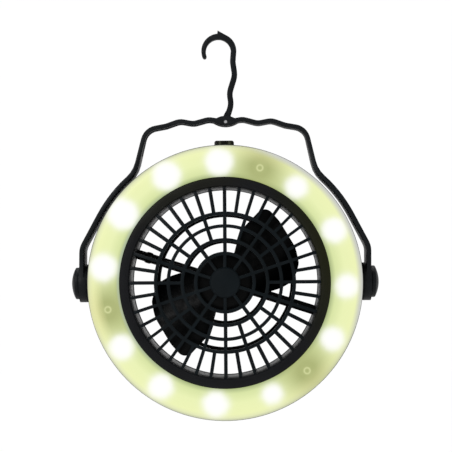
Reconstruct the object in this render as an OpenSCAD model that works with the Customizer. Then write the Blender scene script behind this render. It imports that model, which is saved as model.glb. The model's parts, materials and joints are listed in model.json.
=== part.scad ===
// Portable camping fan: a ring lamp round a ducted fan, hung from a swinging handle with a folding hook.
// Millimetres. The fan blows along -Y, +Z is up, and the origin is the centre of the hook's loop.
// Inside the modules, zero is the centre of the disc, and clock angles run clockwise from the top,
// as seen from the front.

/* [Disc] */
// Outside diameter of the round body
disc_d = 180; // [178:0.5:184]
// Depth from the lens face to the rear face
disc_depth = 44; // [44:0.5:48]
// Bore of the air duct
duct_d = 124.4; // [122:0.1:126]
// Wall of the rear housing and the lens
wall = 2; // [1.6:0.1:2.2]
// Radius of the rear outer edge
rear_round = 10; // [8:0.5:11]

/* [Lamp] */
// Depth of the lens ring, from its face to its seat on the housing
lens_depth = 9; // [8:0.25:9]
// Radius of the lens ring's outer front edge
lens_round = 6.5; // [5:0.5:7]
// Thickness of the lamp board and the control board
board_t = 1.6; // [1:0.1:1.8]
// Diameter of the circle that the LEDs stand on
led_circle_d = 155.2; // [153:0.2:158]
// Diameter of an LED's body
led_d = 5; // [3:0.1:5.4]
// LEDs between two screw posts
leds_per_group = 4; // [2:1:5]
// Angle between neighbouring LEDs of a group
led_pitch = 27.2; // [20:0.2:28]

/* [Front grille] */
// Width of the flat bezel between the duct and the lens
bezel_w = 6.3; // [5.4:0.1:6.6]
// How far the lens's side stands inside the housing's outer edge
lens_inset = 0.4; // [0:0.1:0.6]
// How far the bezel stands in front of the lens
bezel_proud = 0.6; // [0.3:0.1:1.2]
// Width of the grille's rings
ring_w = 2.2; // [1.6:0.1:2.8]
// Width of the grille's bars
bar_w = 2; // [1.4:0.1:2.6]
// Depth of the grille's rings and bars
bar_depth = 2; // [1.6:0.1:2.6]
// Diameter of the plain cap in the middle
cap_d = 20; // [14:0.5:24]
// Bars that reach the middle cap; each step outwards doubles them
inner_bars = 10; // [8:1:10]

/* [Fan] */
// Diameter over the blade tips
fan_d = 112; // [96:0.5:116]
// Diameter of the hub
hub_d = 38; // [36:0.2:42]
// Thickness of a blade
blade_t = 1.8; // [1.2:0.1:2.4]
// Pitch of a blade at the middle of its chord, in degrees
blade_pitch = 20; // [14:1:22]

/* [Motor] */
// Diameter of the motor's can
motor_d = 24.4; // [22:0.2:25]
// Length of the motor's can
can_len = 16; // [14:0.5:16.5]
// Diameter of the motor's shaft
shaft_d = 2; // [1.5:0.1:2.4]

/* [Rear guard] */
// Width of the two wide arms
arm_w = 6.4; // [5:0.2:8]
// Width of the guard's rim
rim_w = 2.5; // [2.2:0.1:2.8]
// Depth of the guard's rim
rim_depth = 3.6; // [3.2:0.1:3.8]

/* [Batteries] */
// Diameter of an AA cell
cell_d = 14.5; // [13.5:0.1:14.5]
// Length of an AA cell with its nub
cell_len = 50.5; // [49.5:0.1:50.5]
// Room for a contact spring at one end of a cell
spring_len = 4.7; // [4:0.1:4.8]

/* [Button] */
// Width of the push button
button_w = 12.9; // [9:0.1:13.5]
// Depth of the push button
button_depth = 8; // [6:0.1:9]
// Height of the button above the housing
button_h = 3.5; // [2:0.1:4]
// Travel of the button
button_travel = 0.8; // [0.4:0.1:1]

/* [Handle] */
// Height of the handle's top bar above the disc
handle_rise = 15.7; // [15:0.1:20]
// How far the top of the handle leans to the right, as the straps give under the body's weight
handle_lean = 1.1; // [0:0.1:1.5]
// Thickness of the strap at the top bar
strap_top_t = 2.8; // [2.4:0.1:3.6]
// Thickness of the strap at the pivots
strap_foot_t = 2.8; // [2.4:0.1:4]
// Depth of the top bar, front to back
bar_top_depth = 13; // [12:0.5:16]
// Depth of the legs at the pivots
leg_depth = 24; // [20:0.5:24]
// Diameter of the round knuckle at a pivot
knuckle_d = 25; // [24.5:0.1:25.2]
// Thickness of the knuckle
knuckle_t = 5.2; // [4.6:0.1:6]
// Diameter of the spigot that the knuckle turns on
spigot_d = 8; // [7:0.1:9]
// Diameter of the domed pivot cap
pivot_cap_d = 20.9; // [20:0.1:23]
// Height of the domed pivot cap
pivot_cap_h = 5.4; // [5.2:0.1:7]

/* [Hook] */
// Clear diameter of the hook's loop
loop_d = 16.6; // [14:0.1:17]
// Thickness of the hook's stem
hook_t = 3.7; // [3:0.1:4]
// Thickness of the loop near its tip
hook_tip_t = 2.9; // [2.2:0.1:3.4]
// Depth of the hook, front to back
hook_depth = 5; // [4:0.1:6]
// Height of the loop's centre above the pin
loop_rise = 47.1; // [46:0.1:48]
// Diameter of the hook's pin
hook_pin_d = 2; // [1.6:0.1:2.6]

/* [Hidden] */
$fn = 96;
arc_step = 12;           // degrees per chord where a corner is rounded, at most
chord_len = 5;           // length of such a chord, at most
disc_r = disc_d / 2;
duct_r = duct_d / 2;
hub_r = hub_d / 2;
shaft_r = shaft_d / 2;
motor_r = motor_d / 2;
fan_r = fan_d / 2;
knuckle_r = knuckle_d / 2;
spigot_r = spigot_d / 2;
loop_r = loop_d / 2;
led_ring_r = led_circle_d / 2;
hook_pin_r = hook_pin_d / 2;

// Clearances
run_gap = 0.05;          // radial, a shaft in its bearing
side_gap = 0.3;          // beside a piece that moves
fit_gap = 0.1;           // round a piece that is fitted and stays
slot_gap = 0.4;          // each side of the folded hook

// The batteries' ring round the duct
rim_r = duct_r + rim_w;
step_r = rim_r + fit_gap;
step_out_r = step_r + wall;
cell_r = cell_d / 2;
cell_ring_r = step_out_r + cell_r + 0.25;      // distance of the cells' axes from the disc's centre
plate_t = 0.4;
plate_half = 5;
rib_t = 1.4;
bay_half = (cell_len + spring_len) / 2;        // half the length between two contact plates

// Planes across the body, along Y
y_front = -disc_depth / 2;
y_rear = disc_depth / 2;
y_seam = y_front + lens_depth;                 // lens and lamp board seat here
y_board = y_seam + board_t;                    // back of the lamp board
y_bezel = y_front - bezel_proud;
y_step = y_rear - rim_depth - 0.2;             // seat of the rear guard's rim
y_guard = y_rear - 0.2;                        // rear of the guard
y_bars = y_front + 0.4;                        // front of the grille's bars

// Radii of the ring-shaped pieces
duct_out_r = duct_r + wall;
bezel_r = duct_r + bezel_w;
lens_in_r = bezel_r + 0.15;
lens_out_r = disc_r - lens_inset;
guard_in_r = duct_r - 0.3;
lens_t = wall - 0.2;
board_in_r = duct_out_r + 1.8;
board_out_r = disc_r - wall - 0.5;

// The lamp, its posts and the battery bay share one threefold layout, turned past the bottom
layout_turn = 17.4;
post_angles = [for (i = [0:2]) layout_turn + 120 * i];
post_r = 3;
lens_boss_r = 4;
lens_screw_r = 1.45;
lens_seat_depth = 10;                          // from the seam to the seat of the lens screws
lens_bite = 4.5;                               // how far the lens screws reach into the posts
guard_boss_r = 3.6;
guard_socket_r = guard_boss_r + fit_gap + 0.3;  // recess in the housing for an ear of the guard
guard_post_r = guard_socket_r + 0.7;
guard_screw_r = 1.1;
guard_screw_ring_r = rim_r + 2.7;
guard_ear_t = 3.4;
guard_head_h = 1.5;
y_guard_seat = y_guard - guard_head_h - 0.2;   // the guard's screws seat here, sunk into the ears
guard_head_r = 2.2;

// The grille's rings, as radii of their centre lines
ring_radii = [18.9, 27.7, 36.65, 44.9];
guard_rings = [27.3, 44.9];
tongue_angles = concat(post_angles, [layout_turn + 60, layout_turn - 60]);
arm_angle = 108;                               // clock angle of one wide arm, the other lies opposite

// Motor and hub, along Y
y_can = y_step - 4.2 - can_len;                // front of the motor's can
y_can_end = y_can + can_len;
end_cap_t = 2.4;
y_motor_end = y_can_end + end_cap_t;
can_wall = 0.8;
bearing_r = 3;
bearing_h = 1;
cup_wall = 2;
cup_in_r = motor_r + fit_gap / 2;
cup_out_r = cup_in_r + cup_wall;
cup_floor_t = 2;
y_cup = y_can + 5;                             // front edge of the motor's cup
y_cup_floor = y_guard - cup_floor_t;
hub_wall = 1.6;
y_hub = y_bars + bar_depth + 4.4;              // front of the hub
y_hub_end = y_hub + 19;
hub_boss_r = 4;
y_hub_boss_end = y_can - bearing_h - 1;

// Blades
blade_y = -4;                                  // where the middle of the chord lies
blade_bend_r = 80;
span_angle = 58;                               // clock angle of a blade's span
blade_model_r = 56;                            // tip radius that the outline below is drawn for
blade_corners = [[4, 12, 0], [10, 33.5, 14], [26.5, 50.5, 6], [35.9, 40, 12], [46.6, 22.6, 18],
                 [48.95, 12.4, 7], [47.3, 5.6, 5], [43.2, -0.7, 5], [37.5, -4.1, 20], [28, -7, 15],
                 [19, -9.2, 6], [14, -9.2, 0], [8, 0, 0]];

// Battery bay
bay_turn = layout_turn;                        // the bay's middle is this far past the bottom
stack_half = bay_half + plate_t + rib_t;       // half the length of a stack of cells with its end ribs
stack_gap = 3.4;                               // from a stack's end to the bay's middle
// Each stack lies this far from the bay's middle, and the bay's side walls lie past their ends
bay_cell_angle = atan((stack_half + stack_gap) / (step_out_r - 0.5));
bay_half_angle = bay_cell_angle + atan((stack_half + 0.7) / step_out_r);
door_half_angle = bay_half_angle - 1.5;
bay_floor_t = 1.4;
y_bay = y_board + bay_floor_t;
y_cells = [y_bay + 0.2 + cell_r, y_bay + 0.3 + 3 * cell_r];
door_in_r = step_out_r + 0.6;
clip_t = 1.4;
clip_len = 6;

// Button, switch and control board
button_x = 0;
board_z = disc_r - 16;
control_w = 30;
control_depth = 18;
board_screw_x = control_w / 2 - 3;
board_screw_len = 6;
switch_w = 6;
switch_h = 3.5;
plunger_r = 1.7;
plunger_up = 1.5;                              // how far the plunger stands out of the switch
z_plunger = board_z + board_t + switch_h + plunger_up;
flange_w = 1.3;                                // how far the button's flange reaches past its sides
flange_t = 1.4;
z_flange = sqrt(pow(disc_r - wall, 2) - pow(button_w / 2 + flange_w, 2)) - side_gap - flange_t;
stem_r = 2.2;

// Pivots, along X
pad_x = disc_r + 0.3;                          // face of the pivot pad
knuckle_x = pad_x + side_gap;                  // inner face of the knuckle
knuckle_out_x = knuckle_x + knuckle_t;
spigot_x = knuckle_out_x + side_gap;           // end of the spigot, which the washer seats on
friction_t = 0.9;
friction_r = knuckle_r - 3.5;
washer_t = 0.8;
washer_r = 6.2;
pivot_screw_r = 1.5;
pivot_head_r = 3.2;
pivot_head_h = 2;
pivot_screw_in_x = pad_x - 8;
cap_cavity_r = washer_r + 0.4;
cap_cavity_x = spigot_x + washer_t + pivot_head_h + side_gap;
pivot_cap_x = knuckle_out_x + pivot_cap_h;
cap_dome_h = 2.7;                              // height of the cap's dome over its edge
cap_dome_r = arc_radius(pivot_cap_d, cap_dome_h);

eye_r = 2.8;                                   // the hook's eye round its pin

// Handle: corners of the right half's centre line, [x, height over the rim, rounding]
pin_z = disc_r + handle_rise;
bar_corners = [[3, 0.5, 0], [11.3, 1.9, 9], [21.2, -0.8, 9], [30.2, 0.9, 9], [39.4, -2.3, 9],
               [45.5, -3.4, 9], [52.7, -4.45, 10]];
// Corners that follow the rim: [clock angle, gap to the rim, rounding]
leg_corners = [[39.2, 3.95, 20], [52.75, 5.05, 93]];
strap_x = knuckle_out_x - strap_foot_t / 2 - 0.4;
foot_corners = [[strap_x, 23.1, 12], [strap_x, 0, 0]];
// The middle boss is shaped like an eye, with its two arcs over one chord
boss_w = 17.4;
boss_mid_z = pin_z + 0.4;
boss_top_h = 3.6;
boss_low_h = 2.9;
handle_path = rounded_path(concat(
    [for (c = bar_corners) [c[0], pin_z + c[1], c[2]]],
    [for (c = leg_corners) concat(on_clock(c[0], disc_r + c[1]), c[2])],
    foot_corners));
slot_w = hook_depth + 2 * slot_gap;
slot_end_x = eye_r + 1.6;                      // the slot reaches this far past the pin
slot_low_z = pin_z - 22;                       // the slot for the folded hook ends here in the leg

// Hook: corners of the stem's centre line above the pin, [x, height, rounding]
loop_mid_r = loop_r + hook_t / 2;
loop_x = 5.6 - loop_mid_r;
stem_corners = [[0, 0, 0], [3.75, 12, 12], [2.6, 19.5, 12], [6.3, 31.2, 12], [5, loop_rise - 6.8, 9],
                [loop_x + loop_mid_r, loop_rise + 0.5, 0]];
hook_path = rounded_path(stem_corners);
// The root widens to the eye
root_outline = [[-2.6, 0], [-1.2, 5], [0.4, 7.8], [4.1, 7.8], [3.5, 5], [2.7, 0]];
// The outer edge of the loop lies off its bore's centre, so that the loop thins towards its tip
loop_out_r = loop_r + (hook_t + hook_tip_t) / 2;
loop_shift = [(hook_t - hook_tip_t) / 2, 0.3];
tip_angle = 200;                               // the loop runs from its right side over the top to here
tip_mid_r = loop_r + hook_tip_t / 2 - 0.05;
fin_h = 2.1;
fin_angle = 26;                                // the fin's slope meets the loop here, past the top

// ---- Geometry helpers ----

function unit(v) = v / norm(v);
// Radius of an arc over a chord, from the chord's length and the arc's height
function arc_radius(chord, height) = (chord * chord / 4 + height * height) / (2 * height);
function on_clock(angle, r) = [r * sin(angle), r * cos(angle)];
function half_turn(a) = a > 180 ? a - 360 : a < -180 ? a + 360 : a;

// Points that round the corner p between its neighbours a and b
function round_corner(a, p, b, r) =
    r == 0 ? [[p[0], p[1]]] :
    let (u = unit([a[0] - p[0], a[1] - p[1]]),
         v = unit([b[0] - p[0], b[1] - p[1]]),
         half = acos(u * v) / 2,
         centre = [p[0], p[1]] + unit(u + v) * r / sin(half),
         from = [p[0], p[1]] + u * r / tan(half) - centre,
         to = [p[0], p[1]] + v * r / tan(half) - centre,
         first = atan2(from[1], from[0]),
         turn = half_turn(atan2(to[1], to[0]) - first),
         steps = max(2, ceil(abs(turn) / arc_step), ceil(r * abs(turn) * PI / 180 / chord_len)))
    [for (i = [0:steps]) centre + r * [cos(first + turn * i / steps), sin(first + turn * i / steps)]];

function rounded_path(c) = [for (i = [0:len(c) - 1])
    each i == 0 || i == len(c) - 1 ? [[c[i][0], c[i][1]]]
                                   : round_corner(c[i - 1], c[i], c[i + 1], c[i][2])];

function rounded_loop(c) = [for (i = [0:len(c) - 1])
    each round_corner(c[(i + len(c) - 1) % len(c)], c[i], c[(i + 1) % len(c)], c[i][2])];

// Outline of a strap along a path, t0 thick at its start and t1 at its end
function path_normal(p, i) =
    let (d = unit(p[min(i + 1, len(p) - 1)] - p[max(i - 1, 0)])) [-d[1], d[0]];
function strap_outline(p, t0, t1) =
    let (n = len(p) - 1)
    concat([for (i = [0:n]) p[i] + path_normal(p, i) * (t0 + (t1 - t0) * i / n) / 2],
           [for (i = [n:-1:0]) p[i] - path_normal(p, i) * (t0 + (t1 - t0) * i / n) / 2]);

// The disc's centre seen from the origin at the loop's centre
module placed() translate([-loop_x - handle_lean, 0, -pin_z - loop_rise]) children();

// An outline in the XZ plane, from y0 back to y1
module slab(y0, y1) translate([0, y1, 0]) rotate([90, 0, 0]) linear_extrude(y1 - y0) children();

// A profile of (radius, y) turned about the disc's axis
module turned() rotate([-90, 0, 0]) rotate_extrude() children();

// The same over an arc about a clock angle
module turned_arc(middle, half)
    rotate([0, middle - half - 90, 0]) rotate([-90, 0, 0]) rotate_extrude(angle = 2 * half) children();

// A rod along Y at a clock angle
module rod(r, y0, y1, angle = 0, ring_r = 0)
    rotate([0, angle, 0]) translate([0, y0, ring_r]) rotate([-90, 0, 0]) cylinder(r = r, h = y1 - y0);

// A tube wall along Y round the disc's axis
module collar(r_in, r_out, y0, y1) difference() {
    rod(r_out, y0, y1);
    rod(r_in, y0 - 1, y1 + 1);
}

// A rod along X, from x0 out to x1
module axle(r, x0, x1) translate([x0, 0, 0]) rotate([0, 90, 0]) cylinder(r = r, h = x1 - x0);

// A block given by its two corners
module block(low, high) translate(low) cube(high - low);

// A round wire swept along points; the rings' corners turn about the direction up
function wire_way(p, i) = unit(p[min(i + 1, len(p) - 1)] - p[max(i - 1, 0)]);
module wire(points, r, up, sides = 8) {
    n = len(points) - 1;
    corners = [for (i = [0:n], k = [0:sides - 1])
        let (side = unit(cross(wire_way(points, i), up)), top = cross(side, wire_way(points, i)))
        points[i] + r * (side * cos(360 * k / sides) + top * sin(360 * k / sides))];
    faces = concat(
        [[for (k = [0:sides - 1]) k]],
        [for (i = [0:n - 1], k = [0:sides - 1])
            let (next = (k + 1) % sides)
            [i * sides + next, i * sides + k, (i + 1) * sides + k, (i + 1) * sides + next]],
        [[for (k = [sides - 1:-1:0]) n * sides + k]]);
    polyhedron(corners, faces);
}

// A sheet-metal or self-tapping screw along Y: its head lies behind the seat, its tip in front
module screw(shank_r, length, head_r, head_h) {
    rod(shank_r, -length, 0);
    difference() {
        rod(head_r, 0, head_h);
        for (turn = [0, 90]) rotate([0, turn, 0])
            block([-head_r * 0.6, head_h * 0.5, -0.35], [head_r * 0.6, head_h + 1, 0.35]);
    }
}

// Children in the frame of one side's pivot: +X points outwards
module on_side(side) mirror([side < 0 ? 1 : 0, 0, 0]) children();

// ---- Rear housing ----

// Half the shell's section, as (radius, y)
function edge_arc(r) = [for (a = [0:15:90])
    [disc_r - rear_round + r * cos(a), y_rear - rear_round + r * sin(a)]];
shell_section = concat(
    [[disc_r - wall, y_seam], [disc_r, y_seam]],
    edge_arc(rear_round),
    [[step_r, y_rear], [step_r, y_step], [duct_r, y_step], [duct_r, y_board], [duct_out_r, y_board],
     [duct_out_r, y_step - wall], [step_out_r, y_step - wall], [step_out_r, y_rear - wall]],
    [for (i = [6:-1:0]) edge_arc(rear_round - wall)[i]]);

module duct_ribs() for (i = [0:3])
    turned() polygon([[duct_r + 0.1, y_step - 4.4 - 7 * i], [duct_r - 0.15, y_step - 4 - 7 * i],
                      [duct_r - 0.15, y_step - 3 - 7 * i], [duct_r + 0.1, y_step - 2.6 - 7 * i]]);

module pivot_bosses() for (side = [-1, 1]) on_side(side) {
    axle(knuckle_r, disc_r - wall + 0.2, pad_x);
    axle(spigot_r + 4, pad_x - 11, disc_r - 1);
    axle(spigot_r, pad_x - 1, spigot_x);
}

module screw_bosses() for (angle = post_angles) {
    rod(lens_boss_r, y_board, y_rear - wall / 2, angle, led_ring_r);
    rod(guard_post_r, y_step - 10, y_rear - wall / 2, angle, guard_screw_ring_r);
}

module board_posts() for (side = [-1, 1])
    block([side * board_screw_x - 3, -4, duct_r + wall / 2], [side * board_screw_x + 3, 4, board_z]);

// Children in the frame of one stack of cells: X along the cells, Z outwards from the disc's axis
module stack_frame(side)
    rotate([0, 180 + bay_turn - side * bay_cell_angle, 0]) children();

// Everything inside the middle of the shell's wall
module shell_core() turned() polygon(concat(
    [[0, y_seam], [disc_r - wall / 2, y_seam]], edge_arc(rear_round - wall / 2), [[0, y_rear - wall / 2]]));

module bay_walls() intersection() {
    shell_core();
    union() {
        turned_arc(180 + bay_turn, bay_half_angle + asin(rib_t / 2 / duct_r) + 0.2)
            translate([duct_r + wall / 2, y_board + fit_gap])
                square([disc_r - duct_r, bay_floor_t - fit_gap]);
        for (side = [-1, 1]) {
            rotate([0, 180 + bay_turn + side * bay_half_angle, 0])
                block([-rib_t / 2, y_board + bay_floor_t / 2, duct_r + wall / 4], [rib_t / 2, y_rear, disc_r]);
            stack_frame(side) for (end = [-1, 1])
                block([end * (bay_half + plate_t + rib_t / 2) - rib_t / 2, y_board + bay_floor_t / 2,
                       step_out_r - 0.5],
                      [end * (bay_half + plate_t + rib_t / 2) + rib_t / 2, y_rear - wall - 0.5,
                       cell_ring_r + cell_r]);
        }
    }
}

module door_opening() turned_arc(180 + bay_turn, door_half_angle + 0.2)
    polygon(concat(
        [[door_in_r - fit_gap, y_rear - wall - 0.4], [door_in_r - fit_gap, y_rear + 1],
         [disc_r + 1, y_rear + 1], [disc_r + 1, y_rear - rear_round - fit_gap],
         [disc_r - wall - 0.4, y_rear - rear_round - fit_gap]],
        edge_arc(rear_round - wall - 0.4)));

module rear_housing() color("#1b1c1e") placed() difference() {
    union() {
        turned() polygon(shell_section);
        duct_ribs();
        pivot_bosses();
        screw_bosses();
        board_posts();
        bay_walls();
    }
    door_opening();
    // Seat of the rear guard's rim
    rod(step_r, y_step, y_rear + 1);
    // Counterbores and holes for the lens screws, recesses and pilots for the guard's ears
    for (angle = post_angles) {
        rod(lens_boss_r - 1, y_seam + lens_seat_depth, y_rear + 1, angle, led_ring_r);
        rod(lens_screw_r + 0.2, y_seam, y_rear, angle, led_ring_r);
        rod(guard_socket_r, y_guard - guard_ear_t, y_rear + 1, angle, guard_screw_ring_r);
        rod(guard_screw_r, y_guard_seat - 8.5, y_rear, angle, guard_screw_ring_r);
    }
    // Pilot holes of the pivot screws
    for (side = [-1, 1]) on_side(side) axle(pivot_screw_r, pivot_screw_in_x - 1, spigot_x + 1);
    // Slot of the button
    block([button_x - button_w / 2 - side_gap, -button_depth / 2 - side_gap, disc_r - wall - 2],
          [button_x + button_w / 2 + side_gap, button_depth / 2 + side_gap, disc_r + 1]);
    // Pilots of the control board's screws
    for (side = [-1, 1])
        translate([side * board_screw_x, 0, board_z - board_screw_len])
            cylinder(r = 0.9, h = board_screw_len + 1);
    // Notch for the motor's wires
    rotate([0, arm_angle + 180, 0])
        block([-2.2, y_step - 2.2, duct_r - 1], [2.2, y_step + 0.1, step_out_r + 0.5]);
}

// ---- Lamp ----

lens_arc = [for (a = [-90:15:0])
    [lens_out_r - lens_round + lens_round * cos(a), y_front + lens_round + lens_round * sin(a)]];
lens_arc_in = [for (a = [0:-15:-90])
    [lens_out_r - lens_round + (lens_round - lens_t) * cos(a),
     y_front + lens_round + (lens_round - lens_t) * sin(a)]];

module lens_ring() color("#dfe8a8") placed() difference() {
    union() {
        turned() polygon(concat(
            [[lens_in_r, y_seam], [lens_in_r, y_front + 0.5], [lens_in_r + 0.5, y_front]],
            lens_arc,
            [[lens_out_r, y_seam], [lens_out_r - lens_t, y_seam]],
            lens_arc_in,
            [[lens_in_r + lens_t, y_front + lens_t], [lens_in_r + lens_t, y_seam]]));
        for (angle = post_angles) rod(post_r, y_front + lens_t / 2, y_seam, angle, led_ring_r);
    }
    for (angle = post_angles) rod(lens_screw_r, y_seam - lens_bite - 0.7, y_seam + 1, angle, led_ring_r);
}

module lamp_board() color("#f2f2ee") placed() difference() {
    collar(board_in_r, board_out_r, y_seam, y_board);
    for (angle = post_angles) rod(lens_screw_r + 0.2, y_seam - 1, y_board + 1, angle, led_ring_r);
}

led_angles = [for (post = post_angles, i = [0:leds_per_group - 1])
    post + 60 + (i - (leds_per_group - 1) / 2) * led_pitch];
module led() {
    rod(led_d / 2 + 0.4, y_seam - 1, y_seam);
    rod(led_d / 2, y_seam - 3, y_seam - 0.5);
    intersection() {
        translate([0, y_seam - 3, 0]) sphere(r = led_d / 2);
        rod(led_d / 2 + 1, y_seam - 3 - led_d / 2, y_seam - 3);
    }
}
module leds() color("white") placed()
    for (angle = led_angles) rotate([0, angle, 0]) translate([0, 0, led_ring_r]) led();

// ---- Front grille ----

// Bars of a grille between two radii, count of them
module bars(count, r0, r1, w) for (i = [0:count - 1])
    rotate(i * 360 / count) translate([-w / 2, r0]) square([w, r1 - r0]);

module flat_ring(r, w) difference() {
    circle(r = r + w / 2);
    circle(r = r - w / 2);
}

// The bezel has a skirt down to the duct's front edge and snap tongues outside the duct wall
module bezel() color("#17181a") placed() {
    turned() polygon([[duct_r, y_board], [duct_r, y_bezel + 0.6], [duct_r + 0.6, y_bezel],
                      [bezel_r - 0.8, y_bezel], [bezel_r, y_bezel + 0.8], [bezel_r, y_bezel + 2.4],
                      [duct_out_r, y_bezel + 2.4], [duct_out_r, y_board]]);
    for (angle = tongue_angles) turned_arc(angle, 3.6)
        polygon([[duct_out_r - 0.7, y_seam - 3], [duct_out_r + 1.2, y_seam - 3],
                 [duct_out_r + 1.2, y_board + 5], [duct_out_r + fit_gap, y_board + 5],
                 [duct_out_r + fit_gap, y_board - 0.2], [duct_out_r - 0.7, y_board - 0.2]]);
}

// The grille's outer bars end on the bezel's inner face
module front_grille() color("#26292c") placed() {
    slab(y_bars, y_bars + bar_depth) {
        for (r = ring_radii) flat_ring(r, ring_w);
        bars(inner_bars, cap_d / 2 - 1, ring_radii[1], bar_w);
        bars(2 * inner_bars, ring_radii[1], ring_radii[3], bar_w);
        intersection() {
            bars(4 * inner_bars, ring_radii[3], duct_r + 1, bar_w);
            circle(r = duct_r);
        }
    }
    turned() polygon([[0, y_bars + bar_depth], [0, y_bars - 1], [cap_d / 2 - 0.9, y_bars - 1],
                      [cap_d / 2, y_bars - 0.1], [cap_d / 2, y_bars + bar_depth]]);
}

// ---- Rear guard ----

module arm_shape() for (turn = [0, 180])
    rotate(-arm_angle + turn) translate([-arm_w / 2, 0]) square([arm_w, duct_r + 1]);

module rear_guard() color("#161719") placed() difference() {
    union() {
        turned() polygon([[duct_r, y_step], [rim_r, y_step], [rim_r, y_guard], [guard_in_r + 0.4, y_guard],
                          [guard_in_r, y_guard - 0.4], [guard_in_r, y_step + 0.3]]);
        slab(y_step + 0.4, y_guard - 0.6) difference() {
            union() {
                for (r = guard_rings) flat_ring(r, ring_w);
                bars(inner_bars, cup_in_r, guard_rings[0], bar_w);
                bars(2 * inner_bars, guard_rings[0], guard_rings[1], bar_w);
                bars(4 * inner_bars, guard_rings[1], duct_r + 0.5, bar_w);
                arm_shape();
            }
            circle(r = cup_out_r);
        }
        // Ears for the screws
        for (angle = post_angles)
            rod(guard_boss_r, y_guard - guard_ear_t, y_guard, angle, guard_screw_ring_r);
    }
    for (angle = post_angles) {
        rod(guard_screw_r + 0.2, y_step - 1, y_rear + 1, angle, guard_screw_ring_r);
        rod(guard_head_r + 0.3, y_guard_seat, y_rear + 1, angle, guard_screw_ring_r);
    }
}

// The cup that the guard's bars carry holds the motor, with a seat behind the motor's end cap
module motor_cup() color("#161719") placed() difference() {
    rod(cup_out_r, y_cup, y_guard);
    rod(cup_in_r, y_cup - 1, y_motor_end);
    rod(cup_in_r - 1.8, y_cup, y_cup_floor);
    // Notch for the wires
    rotate([0, arm_angle + 180, 0])
        block([-2.2, y_step - 1.6, 0], [2.2, y_step + 0.1, cup_out_r + 1]);
    // Air vents in the floor
    for (i = [0:5]) rod(1.6, y_cup_floor - 1, y_rear, i * 60 + 18, 6.5);
}

// ---- Fan ----

// A curved sheet whose axis lies along the blade's span
module blade_sheet() rotate([0, span_angle, 0])
    translate([-blade_bend_r * sin(blade_pitch), blade_y + blade_bend_r * cos(blade_pitch), -fan_r])
        difference() {
            cylinder(r = blade_bend_r + blade_t / 2, h = 3 * fan_r);
            translate([0, 0, -1]) cylinder(r = blade_bend_r - blade_t / 2, h = 3 * fan_r + 2);
        }

module blade() difference() {
    intersection() {
        slab(y_hub - 4, y_step - 4) scale(fan_r / blade_model_r) polygon(rounded_loop(blade_corners));
        blade_sheet();
    }
    rod(hub_r - hub_wall / 2, y_hub - 5, y_rear);
}

module fan_rotor() color("#0f1011") placed() {
    turned() polygon([[shaft_r, y_hub], [hub_r - 1.5, y_hub], [hub_r, y_hub + 1.5], [hub_r, y_hub_end],
                      [hub_r - hub_wall, y_hub_end], [hub_r - hub_wall, y_hub + 2], [hub_boss_r, y_hub + 2],
                      [hub_boss_r, y_hub_boss_end], [shaft_r, y_hub_boss_end]]);
    for (turn = [0, 180]) rotate([0, turn, 0]) blade();
}

// ---- Motor ----

magnet_t = 2;
armature_r = motor_r - can_wall - magnet_t - 0.5;

module motor_shaft() color("silver") placed() rod(shaft_r, y_hub, y_can_end + 1.6);

module motor_armature() color("#7a4a22") placed() difference() {
    union() {
        rod(armature_r, y_can + 3, y_can_end - 4);
        rod(3, y_can + 1.6, y_can_end - 1.6);
    }
    rod(shaft_r, y_can, y_can_end);
    for (i = [0:4]) rod(1.5, y_can + 2, y_can_end - 3, i * 72, armature_r);
}

module motor_can() color("#b9bcc0") placed()
    turned() polygon([[shaft_r + run_gap, y_can - bearing_h], [bearing_r, y_can - bearing_h],
                      [bearing_r, y_can], [motor_r - 0.8, y_can], [motor_r, y_can + 0.8], [motor_r, y_can_end],
                      [motor_r - can_wall, y_can_end], [motor_r - can_wall, y_can + can_wall],
                      [shaft_r + run_gap, y_can + can_wall]]);

module motor_magnet() color("#3a3a3c") placed()
    collar(motor_r - can_wall - magnet_t, motor_r - can_wall, y_can + 2, y_can_end - 2);

module motor_end_cap() color("#e9e4d4") placed() {
    difference() {
        rod(motor_r, y_can_end, y_motor_end);
        rod(shaft_r + run_gap, y_can_end - 1, y_can_end + 1.7);
    }
    for (side = [-1, 1]) rotate([0, arm_angle, 0])
        block([side * 3 - 0.9, y_motor_end - 0.5, -0.3], [side * 3 + 0.9, y_motor_end + 1.3, 0.3]);
}

// ---- Wiring ----

motor_wire_r = 0.6;
y_motor_wire = y_step - motor_wire_r - 0.1;
wire_arc_r = step_out_r + 4.6;
wire_turn = arm_angle + 180;                   // clock angle of the arm that carries the wires
// From a terminal out along the arm, through the duct wall and round inside the housing
function motor_wire(side) = concat(
    [for (p = [[3, 0, 0.6], [3, 0, 2.5], [2, 0, 5], [1.1, 0, 8], [1.1, 0, step_out_r + 0.5],
               [1.1, -2, step_out_r + 2.2], [1.1, -5, wire_arc_r - 0.8 - side * 0.8]])
        let (at = on_clock(wire_turn + atan2(side * p[0], p[2]), norm([p[0], p[2]])))
        [at[0], y_motor_wire + p[1], at[1]]],
    [for (a = [wire_turn + 4:4:wire_turn + 56])
        let (at = on_clock(a, wire_arc_r - side * 1.1)) [at[0], y_motor_wire - 6.4, at[1]]],
    [[-control_w / 2 + 0.5 + side, control_depth / 2 - 1, board_z - motor_wire_r - side_gap]]);
module motor_wires() color("#a01818") placed()
    for (side = [-1, 1]) wire(motor_wire(side), motor_wire_r, [0, 1, 0]);

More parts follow.
